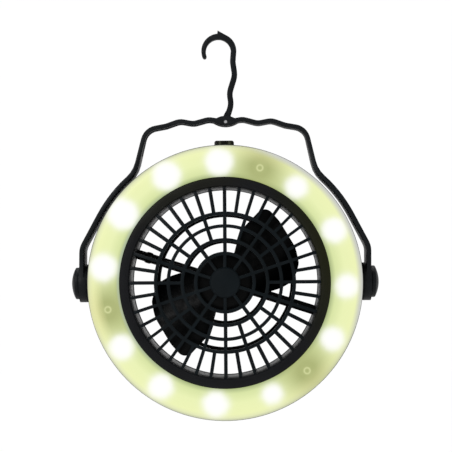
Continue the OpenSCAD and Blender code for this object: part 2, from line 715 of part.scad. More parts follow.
// Dabs of glue, as [distance from the duct's wall, radius]
glue_spots = [[14, 3], [8, 4.1], [3.4, 2.8]];
glue_over = 0.6;         // how far the glue runs past the edges of the arm
module glue_dabs() color("#17181a") placed() rotate([0, arm_angle + 180, 0]) difference() {
    for (dab = glue_spots) intersection() {
        translate([0, y_step + 1, duct_r - dab[0]]) sphere(r = dab[1]);
        block([-arm_w / 2 - glue_over, y_step - 5, duct_r - dab[0] - 5],
              [arm_w / 2 + glue_over, y_step + 0.4, duct_r - dab[0] + 5]);
    }
    for (side = [-1, 1])
        translate([side * 1.1, y_motor_wire, cup_out_r]) cylinder(r = motor_wire_r, h = duct_r, $fn = 24);
}

// Battery leads: from the bay's side wall round the duct wall to the control board's underside
lead_r = 0.6;
lead_arc_r = step_out_r + 4;
lead_start = 180 + bay_turn + bay_half_angle + 1.3;
function battery_lead(y) = concat(
    [for (a = [lead_start:4:346]) let (at = on_clock(a, lead_arc_r)) [at[0], y, at[1]]],
    [[-control_w / 2 + 1, y, board_z - lead_r - side_gap]]);
module battery_leads() color("#b02020") placed()
    for (y = [-7, 6.5]) wire(battery_lead(y), lead_r, [0, 1, 0]);

// ---- Control board, switch and button ----

module control_board() color("#1f5a34") placed() difference() {
    block([-control_w / 2, -control_depth / 2, board_z],
          [control_w / 2, control_depth / 2, board_z + board_t]);
    for (side = [-1, 1])
        translate([side * board_screw_x, 0, board_z - 1]) cylinder(r = 1.2, h = board_t + 2);
}

module switch_body() color("#c9c9c9") placed() difference() {
    block([button_x - switch_w / 2, -switch_w / 2, board_z + board_t],
          [button_x + switch_w / 2, switch_w / 2, board_z + board_t + switch_h]);
    translate([button_x, 0, z_plunger - 4]) cylinder(r = plunger_r + run_gap, h = 5);
}

module switch_plunger() color("#222222") placed()
    translate([button_x, 0, z_plunger - 2.8]) cylinder(r = plunger_r, h = 2.8);

module button_cap() color("#101112") placed() {
    edge = 1.2;
    half = button_w / 2;
    top = disc_r + button_h;
    // Outline of the right half of the cap's front, with its upper corner rounded off
    rise = [[half + edge / 2, z_flange - 1], [half + edge / 2, top - 1.5 * edge],
            [half - edge / 3, top - edge / 3], [half - edge, top]];
    intersection() {
        translate([button_x, 0, z_flange]) linear_extrude(top + 1 - z_flange)
            union() {
                square([button_w - 2 * edge, button_depth], center = true);
                square([button_w, button_depth - 2 * edge], center = true);
                for (x = [-1, 1], y = [-1, 1])
                    translate([x * (half - edge), y * (button_depth / 2 - edge)]) circle(r = edge);
            }
        slab(-button_depth, button_depth) polygon(concat(
            [for (p = rise) [button_x + p[0], p[1]]],
            [for (i = [3:-1:0]) [button_x - rise[i][0], rise[i][1]]]));
    }
    block([button_x - button_w / 2 - flange_w, -button_depth / 2 - flange_w, z_flange],
          [button_x + button_w / 2 + flange_w, button_depth / 2 + flange_w, z_flange + flange_t]);
    translate([button_x, 0, z_plunger]) cylinder(r = stem_r, h = z_flange - z_plunger + 0.5);
}

// ---- Battery door and cells ----

door_section = concat(
    [[door_in_r, y_rear]],
    [for (i = [6:-1:0]) edge_arc(rear_round)[i]],
    edge_arc(rear_round - wall),
    [[door_in_r, y_rear - wall]]);

clip_r = disc_r - wall - fit_gap;
y_clip = y_rear - rear_round;
module battery_door() color("#1b1c1e") placed() {
    turned_arc(180 + bay_turn, door_half_angle) polygon(door_section);
    // Clips that slip inside the outer wall
    for (side = [-1, 1]) turned_arc(180 + bay_turn + side * bay_cell_angle, 3) polygon(
        [[clip_r, y_clip - clip_len], [clip_r - clip_t, y_clip - clip_len], [clip_r - clip_t, y_clip + 2],
         [clip_r + 0.4, y_clip + 2], [clip_r + 0.4, y_clip + 0.3], [clip_r, y_clip + 0.3]]);
}

// Children at the middle of each cell's axis, with X towards the cell's nub; swap turns a cell end for end
module at_cells() for (side = [-1, 1], layer = [0, 1]) {
    flip = layer == 0 ? 1 : -1;
    stack_frame(side) translate([flip * spring_len / 2, y_cells[layer], cell_ring_r])
        mirror([flip < 0 ? 1 : 0, 0, 0]) children();
}

module battery_cells() color("#d9a441") placed() at_cells() rotate([0, 90, 0]) {
    translate([0, 0, -cell_len / 2]) cylinder(r = cell_r, h = cell_len - 1.2);
    translate([0, 0, cell_len / 2 - 1.5]) cylinder(r = 2.7, h = 1.5);
}

// A contact spring: wire wound on a cone along X
coil_turns = 3.25;
coil_steps = 14;         // rings in one turn
coil_wire_r = 0.4;
module coil(length, r_wide, r_narrow) {
    last = ceil(coil_turns * coil_steps);
    wire([for (i = [0:last])
        let (f = i / last, a = 360 * coil_turns * f, r = r_wide + (r_narrow - r_wide) * f)
        [coil_wire_r + 0.05 + (length - 2 * coil_wire_r - 0.1) * f, r * cos(a), r * sin(a)]],
        coil_wire_r, [1, 0, 0], 6);
}
module battery_springs() color("silver") placed()
    at_cells() translate([-cell_len / 2 - spring_len, 0, 0]) coil(spring_len, 4.6, 2.6);

module battery_contacts() color("#c9ccd0") placed() for (side = [-1, 1], end = [-1, 1])
    stack_frame(side)
        block([end * (bay_half + plate_t / 2) - plate_t / 2, y_cells[0] - plate_half, cell_ring_r - plate_half],
              [end * (bay_half + plate_t / 2) + plate_t / 2, y_cells[1] + plate_half, cell_ring_r + plate_half]);

// ---- Screws of the body ----

lens_screw_seat = y_seam + lens_seat_depth;
module lens_screws() color("#8d9095") placed() for (angle = post_angles)
    rotate([0, angle, 0]) translate([0, lens_screw_seat, led_ring_r])
        screw(lens_screw_r, lens_seat_depth + lens_bite, lens_boss_r - 1.2, 2);

module guard_screws() color("#8d9095") placed() for (angle = post_angles)
    rotate([0, angle, 0]) translate([0, y_guard_seat, guard_screw_ring_r])
        screw(guard_screw_r, 8, guard_head_r, guard_head_h);

module control_board_screws() color("#8d9095") placed() for (side = [-1, 1])
    translate([side * board_screw_x, 0, board_z + board_t]) rotate([90, 0, 0])
        screw(0.9, board_screw_len, 1.8, 1.2);

// ---- Handle ----

// How deep the strap is at each height, as an outline in the YZ plane
module depth_profile() polygon([for (side = [1, -1], p = side > 0 ? [0, 1, 2, 3] : [3, 2, 1, 0])
    let (z = [-knuckle_r - 1, pin_z - 40, pin_z - 8, pin_z + 20][p],
         d = [leg_depth, leg_depth, bar_top_depth, bar_top_depth][p])
    [side * d / 2, z]]);

// The half on one side: its points lean the more, the higher they lie
module strap_half(side) intersection() {
    slab(-leg_depth, leg_depth) polygon(strap_outline(
        [for (p = handle_path) [p[0] + side * handle_lean * p[1] / pin_z, p[1]]], strap_top_t, strap_foot_t));
    rotate([90, 0, 90]) linear_extrude(pivot_cap_x) depth_profile();
}

module handle() color("#1a1b1d") placed() difference() {
    union() {
        for (side = [-1, 1]) on_side(side) {
            strap_half(side);
            axle(knuckle_r, knuckle_x, knuckle_out_x);
        }
        translate([handle_lean, 0, boss_mid_z]) intersection() {
            translate([0, 0, boss_top_h - arc_radius(boss_w, boss_top_h)])
                rod(arc_radius(boss_w, boss_top_h), -bar_top_depth / 2, bar_top_depth / 2);
            translate([0, 0, arc_radius(boss_w, boss_low_h) - boss_low_h])
                rod(arc_radius(boss_w, boss_low_h), -bar_top_depth / 2, bar_top_depth / 2);
        }
    }
    // Slot that the hook stands in, and that it folds down into on the left
    block([-disc_r, -slot_w / 2, slot_low_z], [handle_lean + slot_end_x, slot_w / 2, pin_z + 20]);
    translate([handle_lean, 0, pin_z]) rod(hook_pin_r, -bar_top_depth, bar_top_depth);
    // Bores for the spigots and recesses for the friction washers
    for (side = [-1, 1]) on_side(side) {
        axle(spigot_r + run_gap, knuckle_x - 1, knuckle_out_x + 1);
        axle(friction_r + side_gap, knuckle_x - 1, pad_x + friction_t + fit_gap);
    }
}

// ---- Hook ----

mouth_r = 2 * (loop_r + hook_t);
module hook_loop() translate([loop_x, 0, loop_rise]) {
    difference() {
        translate([loop_shift[0], 0, loop_shift[1]]) union() {
            rod(loop_out_r, -hook_depth / 2, hook_depth / 2);
            // Thumb fin: upright on its left, with a slope down to the loop on its right
            slab(-hook_depth / 2, hook_depth / 2)
                polygon([[-1.2, loop_out_r - 2], [-0.7, loop_out_r + fin_h],
                         (loop_out_r - 0.02) * [sin(fin_angle), cos(fin_angle)], [2, loop_out_r - 2]]);
        }
        rod(loop_r, -hook_depth, hook_depth);
        // The mouth, from the tip round to the stem
        slab(-hook_depth, hook_depth)
            polygon([[0, 0], [mouth_r * cos(tip_angle), mouth_r * sin(tip_angle)], [-loop_r, -mouth_r],
                     [mouth_r, -mouth_r], [mouth_r, 0]]);
    }
    translate([tip_mid_r * cos(tip_angle), 0, tip_mid_r * sin(tip_angle)])
        rod(hook_tip_t / 2 - 0.15, -hook_depth / 2, hook_depth / 2);
}

module hook() color("#1a1b1d") placed() translate([handle_lean, 0, pin_z]) difference() {
    union() {
        slab(-hook_depth / 2, hook_depth / 2) polygon(strap_outline(hook_path, hook_t, hook_t));
        slab(-hook_depth / 2, hook_depth / 2) polygon(root_outline);
        rod(eye_r, -hook_depth / 2, hook_depth / 2);
        hook_loop();
    }
    rod(hook_pin_r + run_gap, -hook_depth, hook_depth);
}

module hook_pin() color("silver") placed() translate([handle_lean, 0, pin_z])
    rod(hook_pin_r, -bar_top_depth / 2 - 0.1, bar_top_depth / 2 + 0.1);

// ---- Pivots ----

module pivot_cap() difference() {
    rotate([0, 90, 0]) rotate_extrude() polygon(concat(
        [[0, knuckle_out_x], [pivot_cap_d / 2, knuckle_out_x]],
        [for (i = [8:-1:0]) let (a = asin(pivot_cap_d / 2 / cap_dome_r) * i / 8)
            [cap_dome_r * sin(a), pivot_cap_x - cap_dome_r * (1 - cos(a))]]));
    axle(cap_cavity_r, knuckle_out_x - 1, cap_cavity_x);
}

module friction_washer() difference() {
    axle(friction_r, pad_x, pad_x + friction_t);
    axle(spigot_r, pad_x - 1, pad_x + friction_t + 1);
}

module pivot_washer() difference() {
    axle(washer_r, spigot_x, spigot_x + washer_t);
    axle(pivot_screw_r, spigot_x - 1, spigot_x + washer_t + 1);
}

module pivot_screw() difference() {
    union() {
        axle(pivot_screw_r, pivot_screw_in_x, spigot_x + washer_t + 0.5);
        axle(pivot_head_r, spigot_x + washer_t, spigot_x + washer_t + pivot_head_h);
    }
    for (turn = [0, 90]) rotate([turn, 0, 0])
        block([spigot_x + washer_t + pivot_head_h - 1, -2, -0.35], [pivot_cap_x, 2, 0.35]);
}

module pivot_cap_left() color("#1a1b1d") placed() on_side(-1) pivot_cap();
module pivot_cap_right() color("#1a1b1d") placed() on_side(1) pivot_cap();
module friction_washer_left() color("#3b3b3b") placed() on_side(-1) friction_washer();
module friction_washer_right() color("#3b3b3b") placed() on_side(1) friction_washer();
module pivot_washer_left() color("silver") placed() on_side(-1) pivot_washer();
module pivot_washer_right() color("silver") placed() on_side(1) pivot_washer();
module pivot_screw_left() color("#8d9095") placed() on_side(-1) pivot_screw();
module pivot_screw_right() color("#8d9095") placed() on_side(1) pivot_screw();

// ---- What is drawn ----

rear_housing();
lens_ring();
lamp_board();
leds();
bezel();
front_grille();
rear_guard();
motor_cup();
fan_rotor();
motor_shaft();
motor_armature();
motor_can();
motor_magnet();
motor_end_cap();
motor_wires();
glue_dabs();
control_board();
switch_body();
switch_plunger();
button_cap();
battery_door();
battery_cells();
battery_springs();
battery_contacts();
battery_leads();
lens_screws();
guard_screws();
control_board_screws();
handle();
hook();
hook_pin();
pivot_cap_left();
pivot_cap_right();
friction_washer_left();
friction_washer_right();
pivot_washer_left();
pivot_washer_right();
pivot_screw_left();
pivot_screw_right();
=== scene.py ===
"""Looks of the camping fan: smooth pieces, finishes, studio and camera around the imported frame."""
import json
import math
from functools import cached_property

import bmesh
import bpy
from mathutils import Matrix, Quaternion, Vector

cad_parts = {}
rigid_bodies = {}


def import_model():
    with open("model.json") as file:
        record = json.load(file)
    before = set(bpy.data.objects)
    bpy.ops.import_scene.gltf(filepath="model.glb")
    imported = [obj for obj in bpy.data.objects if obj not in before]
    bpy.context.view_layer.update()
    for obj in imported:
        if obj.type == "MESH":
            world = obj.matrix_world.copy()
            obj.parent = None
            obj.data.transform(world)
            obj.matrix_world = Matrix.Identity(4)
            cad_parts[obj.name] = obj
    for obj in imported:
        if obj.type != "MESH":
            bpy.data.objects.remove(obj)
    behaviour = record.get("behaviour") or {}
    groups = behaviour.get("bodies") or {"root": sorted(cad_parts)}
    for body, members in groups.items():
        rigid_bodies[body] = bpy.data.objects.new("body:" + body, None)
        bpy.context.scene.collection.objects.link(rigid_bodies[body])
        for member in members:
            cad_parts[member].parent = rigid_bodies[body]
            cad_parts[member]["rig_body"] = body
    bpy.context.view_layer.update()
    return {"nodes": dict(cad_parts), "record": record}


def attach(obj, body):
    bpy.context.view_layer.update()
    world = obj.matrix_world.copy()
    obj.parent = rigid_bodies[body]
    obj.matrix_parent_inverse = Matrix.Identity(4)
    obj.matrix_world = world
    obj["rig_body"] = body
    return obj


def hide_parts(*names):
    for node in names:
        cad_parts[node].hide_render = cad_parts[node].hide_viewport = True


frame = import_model()
scene = bpy.context.scene
MM = 0.001

# Places in the row frame, in millimetres. Clock angles are in degrees, seen from the front.
DISC = (3.45, 0.0, -152.8)           # middle of the round body
DUCT_EDGE = (63.2, 62.6)             # radii just outside and just inside the duct's wall
DUCT_DEPTHS = (-14.0, 18.0)          # front and rear ends of the duct, from the middle plane
BEZEL_EDGE = (63.6, 62.8)            # radii just outside and just inside the bezel's bore
LENS_SPAN = (68.0, 90.0)             # radii of the lens's inner edge and its rim
HANDLE_BEND = (-66.0, -56.0)         # heights between which the handle's legs turn into its bar
POST_RING = 77.6                     # radius of the circle that the lens's screw posts stand on
POST_ANGLES = (17.4, 137.4, 257.4)   # clock angles of the posts

# Clock angle of each lit patch on the lens, radius of the ring it lies on and its own radius
LIT_SPOTS = ((37.3, 77.1, 7.1), (64.8, 78.4, 8.0), (92.0, 78.7, 7.5), (118.0, 78.2, 7.6),
             (157.3, 77.9, 6.5), (184.8, 78.6, 8.2), (212.2, 78.8, 7.8), (238.3, 78.7, 7.9),
             (277.4, 79.2, 8.8), (304.3, 79.5, 10.1), (331.8, 78.8, 9.2), (357.6, 78.1, 8.9))


# ---- Finishes ----

NOISE_SPAN = (0.3, 0.7)   # most values of a noise lie between these

# Sockets of the Mix node when it mixes colours
MIX_FACTOR, MIX_FIRST, MIX_SECOND, MIX_RESULT = 0, 6, 7, 2

# Colours of the lit lens. The glow goes from the inner edge, 0, to the rim, 1.
GLOW = ((0.05, (0.40, 0.48, 0.21)), (0.17, (0.66, 0.75, 0.35)), (0.45, (0.80, 0.87, 0.44)),
        (0.78, (0.83, 0.885, 0.45)), (0.88, (0.76, 0.80, 0.46)), (0.95, (0.52, 0.55, 0.36)))
# Olive shadows of the screw posts, painted into the lens's glow
POST_SHADOW, OUTER_POST_SHADOW, LEFT_POST_SHADOW = (0.385, 0.43, 0.155), (0.50, 0.52, 0.215), (0.72, 0.72, 0.33)
POST_MARK = (0.64, 0.68, 0.32)
PALE_RIM = (0.57, 0.58, 0.56)
# A painted highlight on the lens's inner edge at the left
COOL_GLINT = (0.40, 0.48, 0.48)
DARK_LINE = (0.06, 0.06, 0.055)
WHITE = (1.0, 1.0, 1.0)


class Port:
    """One output of a shader node. Arithmetic on it adds Math nodes."""

    def __init__(self, finish, socket):
        self.finish = finish
        self.socket = socket

    def reckon(self, operation, *values):
        """The result of a Math node's operation on the values."""
        return self.finish.node("Math", dict(enumerate(values)), operation=operation)

    def __add__(self, other):
        return self.reckon("ADD", self, other)

    def __mul__(self, other):
        return self.reckon("MULTIPLY", self, other)

    def __sub__(self, other):
        return self.reckon("SUBTRACT", self, other)

    def __rsub__(self, other):
        return self.reckon("SUBTRACT", other, self)

    def __truediv__(self, other):
        return self.reckon("DIVIDE", self, other)

    def __rtruediv__(self, other):
        return self.reckon("DIVIDE", other, self)

    def larger(self, other):
        return self.reckon("MAXIMUM", self, other)

    def smaller(self, other):
        return self.reckon("MINIMUM", self, other)

    def sine(self):
        return self.reckon("SINE", self)

    def exponential(self):
        return self.reckon("EXPONENT", self)

    def bell(self, width):
        """One where the value is zero, falling off on both sides over the width."""
        return (self.reckon("POWER", self / width, 2.0) * -1.0).exponential()


class Finish:
    """A material built round one Principled shader."""

    def __init__(self, name, colour, roughness, **fixed):
        self.material = bpy.data.materials.new(name)
        self.material.use_nodes = True
        self.tree = self.material.node_tree
        self.tree.nodes.clear()
        self.shader = self.tree.nodes.new("ShaderNodeBsdfPrincipled")
        self.end = self.tree.nodes.new("ShaderNodeOutputMaterial")
        self.tree.links.new(self.shader.outputs[0], self.end.inputs["Surface"])
        self.set("Base Color", (*colour, 1))
        self.set("Roughness", roughness)
        for key, value in fixed.items():
            self.set(key.replace("_", " "), value)

    def node(self, kind, inputs=None, out=0, **settings):
        """Adds a node with its inputs fed, and returns one of its outputs."""
        made = self.tree.nodes.new("ShaderNode" + kind)
        for key, value in settings.items():
            setattr(made, key, value)
        for key, value in (inputs or {}).items():
            self.feed(made.inputs[key], value)
        return Port(self, made.outputs[out])

    def feed(self, socket, value):
        """Links the socket to a port, or gives it a fixed value."""
        if isinstance(value, Port):
            self.tree.links.new(value.socket, socket)
        else:
            socket.default_value = value

    def set(self, name, value):
        """Feeds one of the shader's sockets."""
        self.feed(self.shader.inputs[name], value)

    @cached_property
    def place(self):
        """The place on the object in metres."""
        return self.node("TexCoord", out="Object")

    def part_of(self, vector, axis):
        """One part of a vector in metres, in millimetres. The axis is 0 for x, 1 for y, 2 for z."""
        return self.node("SeparateXYZ", {0: vector}, out=axis) / MM

    @cached_property
    def centred(self):
        """The vector from the disc's middle in metres."""
        return self.node("VectorMath", {0: self.place, 1: tuple(v * MM for v in DISC)},
                         operation="SUBTRACT")

    @cached_property
    def flat(self):
        """The same vector laid into the disc's plane."""
        return self.node("VectorMath", {0: self.centred, 1: (1, 0, 1)}, operation="MULTIPLY")

    @cached_property
    def radius(self):
        """The distance from the disc's axis in millimetres."""
        return self.node("VectorMath", {0: self.flat}, out="Value", operation="LENGTH") / MM

    @cached_property
    def depth(self):
        """The depth behind the disc's middle plane in millimetres."""
        return self.part_of(self.centred, 1)

    @cached_property
    def left(self):
        """The distance to the left of the disc's axis in millimetres."""
        return self.along((-1.0, 0.0, 0.0))

    def along(self, direction):
        """How far a place lies from the disc's axis in a direction, in millimetres."""
        return self.node("VectorMath", {0: self.flat, 1: direction}, out="Value",
                         operation="DOT_PRODUCT") / MM

    def away_from(self, angle, ring):
        """The distance in millimetres from a point at a clock angle on a ring about the axis."""
        a = math.radians(angle)
        spot = (ring * math.sin(a) * MM, 0.0, ring * math.cos(a) * MM)
        return self.node("VectorMath", {0: self.flat, 1: spot}, out="Value",
                         operation="DISTANCE") / MM

    def noise(self, scale, detail=3.0, roughness=0.55):
        """A noise over the place on the object, finer as the scale grows."""
        return self.node("TexNoise", {"Vector": self.place, "Scale": scale, "Detail": detail,
                                      "Roughness": roughness})

    def ramp(self, value, *stops):
        """Colours along the value. Each stop is its position and its colour."""
        made = self.node("ValToRGB", {"Fac": value})
        elements = made.socket.node.color_ramp.elements
        while len(elements) < len(stops):
            elements.new(1.0)
        for element, (position, colour) in zip(elements, stops):
            element.position = position
            element.color = (*colour, 1)
        return made

    def grey(self, value, low, high, to_low=0.0, to_high=1.0):
        """The value mapped from one range to another and held inside it."""
        return self.node("MapRange", {"Value": value, "From Min": low, "From Max": high,
                                      "To Min": to_low, "To Max": to_high})

    def mix(self, factor, first, second):
        """The first colour, and the second where the factor is one."""
        first, second = (c if isinstance(c, Port) else (*c, 1) for c in (first, second))
        return self.node("Mix", {MIX_FACTOR: factor, MIX_FIRST: first, MIX_SECOND: second},
                         out=MIX_RESULT, data_type="RGBA")

    def bump(self, height, strength, distance):
        """Raises the shader's surface by the height, in millimetres at most the distance."""
        self.set("Normal", self.node("Bump", {"Height": height, "Strength": strength,
                                              "Distance": distance * MM}))


def shaded(colour, factor):
    """The colour made darker or lighter."""
    return tuple(c * factor for c in colour)


def moulded(name, colour, roughness, grain=2600.0, grain_depth=0.03, level=0.2, scuff=0.06,
            shape=None, painted_light=None):
    """Moulded plastic: a fine spark-eroded grain, faint flow shading and lightly rubbed patches.
    A shape function changes the roughness from place to place; a second function paints light
    onto the colour."""
    f = Finish(name, colour, roughness, Specular_IOR_Level=level)
    grit = f.noise(grain, detail=2.0)
    rub = f.grey(f.noise(120.0, detail=6.0, roughness=0.7), 0.45, 0.75)
    flow = f.grey(f.noise(38.0), *NOISE_SPAN)
    tone = f.mix(flow, shaded(colour, 0.75), shaded(colour, 1.3))
    f.set("Base Color", painted_light(f, tone) if painted_light else tone)
    even = shape(f) if shape else roughness
    f.set("Roughness", f.grey(grit, *NOISE_SPAN, -0.05, 0.05) - rub * scuff + even)
    f.bump(grit, 0.35, grain_depth)
    return f.material


def duct_gloss(f):
    """The duct's wall is polished in fine rings, more so towards the rear; the outside is matt."""
    matt, front_polish, rear_polish = 0.52, -0.10, -0.30
    ring_turn, ring_polish = 1.8, 0.10
    rings = (f.depth * ring_turn).sine() * ring_polish
    polish = f.grey(f.depth, *DUCT_DEPTHS, front_polish, rear_polish) + rings
    return f.grey(f.radius, *DUCT_EDGE) * polish + matt


def matt_bore(f):
    """The bezel's bore is matt, its face is smoother."""
    face, bore = 0.42, 0.80
    return f.grey(f.radius, *BEZEL_EDGE, face, bore)


def bar_matt(f):
    """The handle's bar is worn matt, its legs are smoother."""
    legs, bar = 0.50, 0.62
    return f.grey(f.part_of(f.place, 2), *HANDLE_BEND, legs, bar)


def painted_lamp_glow(f, tone):
    """The lamp's glow, painted into the bezel's colour: yellowish on its right and at the upper
    left.
    """
    right, right_span, right_glow = (0.97, 0.0, 0.24), (40.0, 66.0), (0.0085, 0.0090, 0.0010)
    corner, corner_span, corner_glow = (-0.42, 0.0, 0.91), (50.0, 66.0), (0.0080, 0.0080, 0.0025)
    tone = f.mix(f.grey(f.along(right), *right_span, 0.0, 0.9), tone, right_glow)
    return f.mix(f.grey(f.along(corner), *corner_span, 0.0, 0.6), tone, corner_glow)


def painted_button_glints(f, tone):
    """Two soft highlights, painted side by side on the button's front."""
    painted_glint_tone, strength = (0.060, 0.064, 0.042), 0.8
    across = f.part_of(f.place, 0) - DISC[0]
    for middle, width in ((-2.9, 0.7), (3.5, 0.9)):
        tone = f.mix((across - middle).bell(width) * strength, tone, painted_glint_tone)
    return tone


def metal(name, colour, roughness):
    """Plated or turned metal with fine, faint scratches."""
    f = Finish(name, colour, roughness, Metallic=1.0)
    streak = f.noise(900.0, detail=5.0, roughness=0.7)
    f.set("Roughness", f.grey(streak, *NOISE_SPAN, roughness * 0.75, roughness * 1.3))
    f.set("Base Color", f.mix(f.grey(f.noise(90.0), *NOISE_SPAN), shaded(colour, 0.85), colour))
    f.bump(streak, 0.15, 0.01)
    return f.material


def summed(ports):
    """The ports added up."""
    first, *others = ports
    for port in others:
        first = first + port
    return first


def painted_post_shadows(f, colour):
    """Olive shadows of the lens's screw posts, painted into its glow, lighter near the rim,
    and a ring on each.
    """
    shade_width, shade_strength = 16.8, 1.12
    mark_radius, mark_width, mark_strength = 1.85, 0.62, 0.8
    from_posts = [f.away_from(angle, POST_RING) for angle in POST_ANGLES]
    shade = summed(away.bell(shade_width) * shade_strength for away in from_posts)
    marks = summed((away - mark_radius).bell(mark_width) for away in from_posts)
    left_reach, outer_part = (40.0, 80.0), (79.0, 85.5)
    outer = f.mix(f.grey(f.left, *left_reach), OUTER_POST_SHADOW, LEFT_POST_SHADOW)
    shadow_colour = f.mix(f.grey(f.radius, *outer_part), POST_SHADOW, outer)
    return f.mix(marks * mark_strength, f.mix(shade.smaller(1.0), colour, shadow_colour), POST_MARK)


def lit_patches(f, colour):
    """White patches over the LEDs, a little uneven."""
    wander, softness = 2.4, 1.15
    uneven = (f.noise(110.0, detail=2.0) - 0.5) * wander
    rises = [(f.away_from(angle, ring) + uneven - reach) / softness
             for angle, ring, reach in LIT_SPOTS]
    patches = summed(1.0 / (rise.exponential() + 1.0) for rise in rises)
    return f.mix(patches.smaller(1.0), colour, WHITE)


def lens_edges(f, colour):
    """A pale rim on the right, a painted cool glint inside on the left, and a thin dark line
    all round, fainter where the rim is pale."""
    pale_side, pale_reach, glint_reach = (0.88, 0.0, 0.47), (54.0, 68.0), (30.0, 66.0)
    inner_edge, rim, outline = (69.3, 70.5), (85.2, 88.6), (89.05, 89.35)
    pale = f.grey(f.along(pale_side), *pale_reach, 0.0, 0.9)
    colour = f.mix(f.grey(f.radius, *rim) * pale, colour, PALE_RIM)
    # painted cool highlight along the inner edge, on the left
    glint = f.grey(f.radius, *inner_edge, 1.0, 0.0) * f.grey(f.left, *glint_reach, 0.0, 0.4)
    colour = f.mix(glint, colour, COOL_GLINT)
    line = f.grey(f.radius, *outline, 0.0, 0.85)
    return f.mix(line * (1.0 - pale * 0.5), colour, DARK_LINE)


def lens_finish():
    """The lit diffuser: a pale yellow-green glow with the posts' painted shadows, lit patches,
    a painted glint and edges.
    """
    f = Finish("lens_glow", (0.05, 0.05, 0.04), 0.46, Specular_IOR_Level=0.12)
    colour = f.ramp(f.grey(f.radius, *LENS_SPAN), *GLOW)
    f.set("Emission Color", lens_edges(f, lit_patches(f, painted_post_shadows(f, colour))))
    f.set("Emission Strength", 0.96)
    f.set("Roughness", f.grey(f.noise(1500.0), *NOISE_SPAN, 0.42, 0.50))
    f.bump(f.noise(900.0), 0.10, 0.02)
    return f.material


def led_finish():
    """A lit LED's resin, nearly even white."""
    f = Finish("led_resin", (0.9, 0.9, 0.85), 0.2)
    f.set("Emission Color", f.mix(f.noise(600.0), (1.0, 1.0, 0.92), WHITE))
    f.set("Emission Strength", 1.0)
    return f.material


FINISHES = {
    "housing_plastic": moulded("housing_black", (0.0060, 0.0066, 0.0074), 0.52, shape=duct_gloss),
    # the bezel's colour carries the lamp's glow, painted on
    "bezel_plastic": moulded("bezel_black", (0.0034, 0.0038, 0.0048), 0.42, level=0.13,
                             shape=matt_bore, painted_light=painted_lamp_glow),
    "grille_plastic": moulded("grille_black", (0.0024, 0.0045, 0.0058), 0.44, level=0.09),
    # near-black, made darker than the other blacks: partly their own colour, partly painted shade
    # inside the duct
    "guard_plastic": moulded("guard_black_painted_shade", (0.0006, 0.0007, 0.0008), 0.50, level=0.07),
    "fan_plastic": moulded("fan_black_painted_shade", (0.0004, 0.0007, 0.0008), 0.30, grain=3200.0,
                           grain_depth=0.004, level=0.08, scuff=0.0),
    "handle_plastic": moulded("handle_black", (0.0030, 0.0042, 0.0054), 0.36, grain_depth=0.01,
                              level=0.14, shape=bar_matt),
    # dark plastic with an olive tint, which is the lens's glow painted on, and two painted
    # highlights
    "button_plastic": moulded("button_black", (0.0034, 0.0036, 0.0010), 0.30, grain_depth=0.006,
                              level=0.10, painted_light=painted_button_glints),
    "friction_rubber": moulded("washer_rubber", (0.020, 0.020, 0.020), 0.75),
    "wire_sheath": moulded("wire_sheath", (0.012, 0.010, 0.010), 0.40, grain_depth=0.005),
    "white_nylon": moulded("white_nylon", (0.62, 0.60, 0.52), 0.50, level=0.4),
    "white_board": moulded("white_board", (0.80, 0.80, 0.77), 0.40, grain_depth=0.005),
    "green_board": moulded("green_board", (0.015, 0.110, 0.045), 0.35, grain_depth=0.005,
                           level=0.5),
    "cell_sleeve": moulded("cell_sleeve", (0.40, 0.24, 0.05), 0.30, grain_depth=0.003, level=0.5),
    "hot_glue": moulded("glue_black", (0.0040, 0.0042, 0.0044), 0.30, grain_depth=0.02),
    "magnet": moulded("magnet_ferrite", (0.035, 0.035, 0.037), 0.60),
    "bright_steel": metal("bright_steel", (0.72, 0.72, 0.73), 0.25),
    "motor_steel": metal("motor_steel", (0.62, 0.63, 0.65), 0.32),
    "screw_steel": metal("screw_steel", (0.50, 0.51, 0.53), 0.34),
    "copper_winding": metal("copper_winding", (0.62, 0.27, 0.13), 0.35),
    "lens_plastic": lens_finish(),
    "led_resin": led_finish(),
}

slots = {row["node"]: row["material_slot"] for row in frame["record"]["subparts"]}
for node, piece in frame["nodes"].items():
    piece.data.materials.clear()
    piece.data.materials.append(FINISHES[slots[node]])


# ---- Smooth pieces that stand for the frame's plain ones ----

SAME_POINT = 0.002      # points closer than this many millimetres are joined
FLAT_ANGLE = 0.6        # faces that meet at less than this many degrees become one
EDGE_ANGLE = 32.0       # edges sharper than this are rounded
SHADING_ANGLE = 30.0    # edges sharper than this stay sharp in the shading

# Width in millimetres by which each node's edges are rounded
ROUNDED = {
    "front_grille": 0.30, "bezel": 0.35, "fan_rotor": 0.45, "rear_guard": 0.25, "motor_cup": 0.25,
    "handle": 0.50, "hook": 0.55, "pivot_cap_left": 0.50, "pivot_cap_right": 0.50,
    "button_cap": 1.0, "rear_housing": 0.30, "battery_door": 0.30,
}


def object_from(bm, name, material):
    """Makes the bmesh an object of the scene."""
    mesh = bpy.data.meshes.new(name)
    bm.to_mesh(mesh)
    bm.free()
    mesh.materials.append(material)
    made = bpy.data.objects.new(name, mesh)
    scene.collection.objects.link(made)
    return made


def piece_from(bm, name, body, finish_slot, nodes):
    """Makes the bmesh a piece that rides on a body and stands for the nodes."""
    piece = object_from(bm, name, FINISHES[finish_slot])
    piece.data.shade_smooth()
    piece.data.set_sharp_from_angle(angle=math.radians(SHADING_ANGLE))
    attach(piece, body)
    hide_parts(*nodes)


